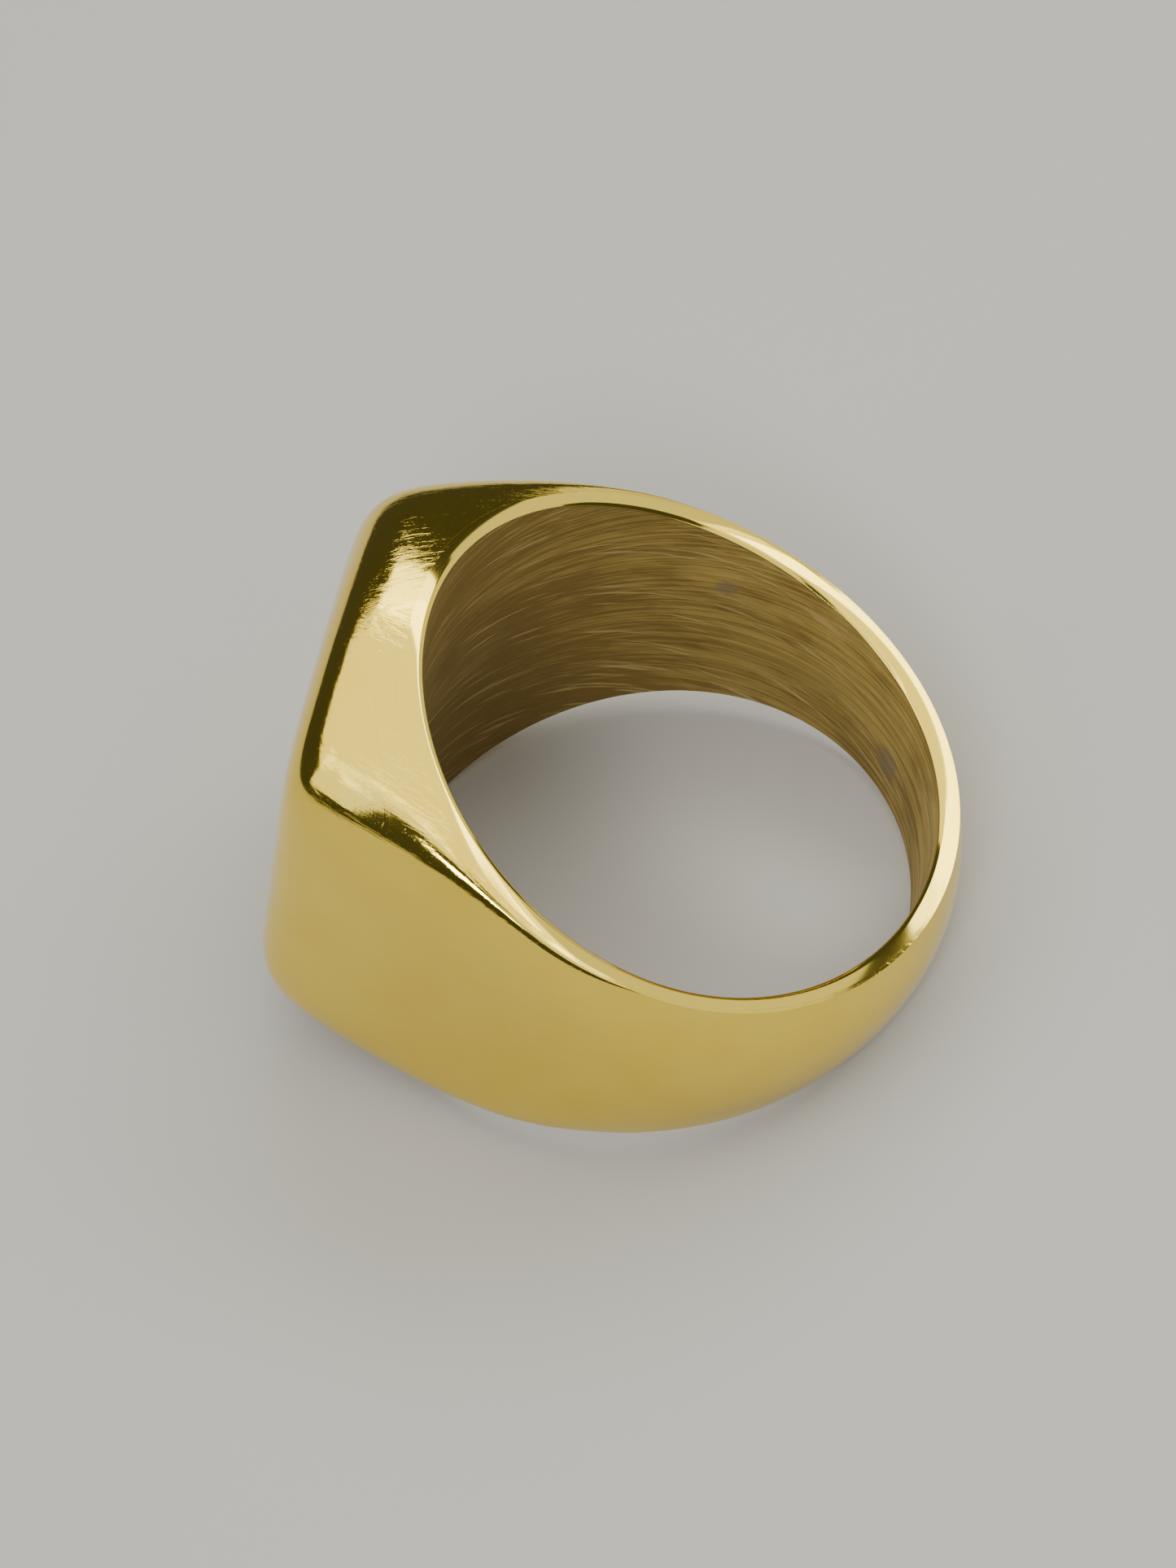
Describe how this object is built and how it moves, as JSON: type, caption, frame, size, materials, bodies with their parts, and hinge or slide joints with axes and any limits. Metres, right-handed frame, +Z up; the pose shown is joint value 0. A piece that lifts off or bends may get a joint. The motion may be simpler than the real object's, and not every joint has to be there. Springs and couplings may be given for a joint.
{
  "type": "signet ring",
  "caption": "Lined signet ring lying on its side: flat soft-cornered table on a hollow head, tapered shoulders, domed shank and a satin bore sleeve.",
  "frame": {"origin": "on the surface the ring lies on, under the middle of the lying ring", "axes": "+Z up from the surface, +X from the signet head to the back of the shank, +Y to the ring's left side"},
  "size_m": [0.026, 0.0224, 0.0177],
  "materials": {
    "polished_gold": "mirror-polished yellow gold colour with fine wear scratches",
    "satin_bore": "satin, brushed round the bore, with slight tarnish",
    "solder": "gold solder, polished flush"
  },
  "bodies": {
    "root": {"bore_sleeve": "satin_bore", "sleeve_solder": "solder", "shank": "polished_gold", "shank_solder_right": "solder", "shoulder_right": "polished_gold", "shoulder_solder_right": "solder", "shank_solder_left": "solder", "shoulder_left": "polished_gold", "shoulder_solder_left": "solder", "head_frame": "polished_gold", "table_solder": "solder", "signet_table": "polished_gold"}
  },
  "joints": []
}
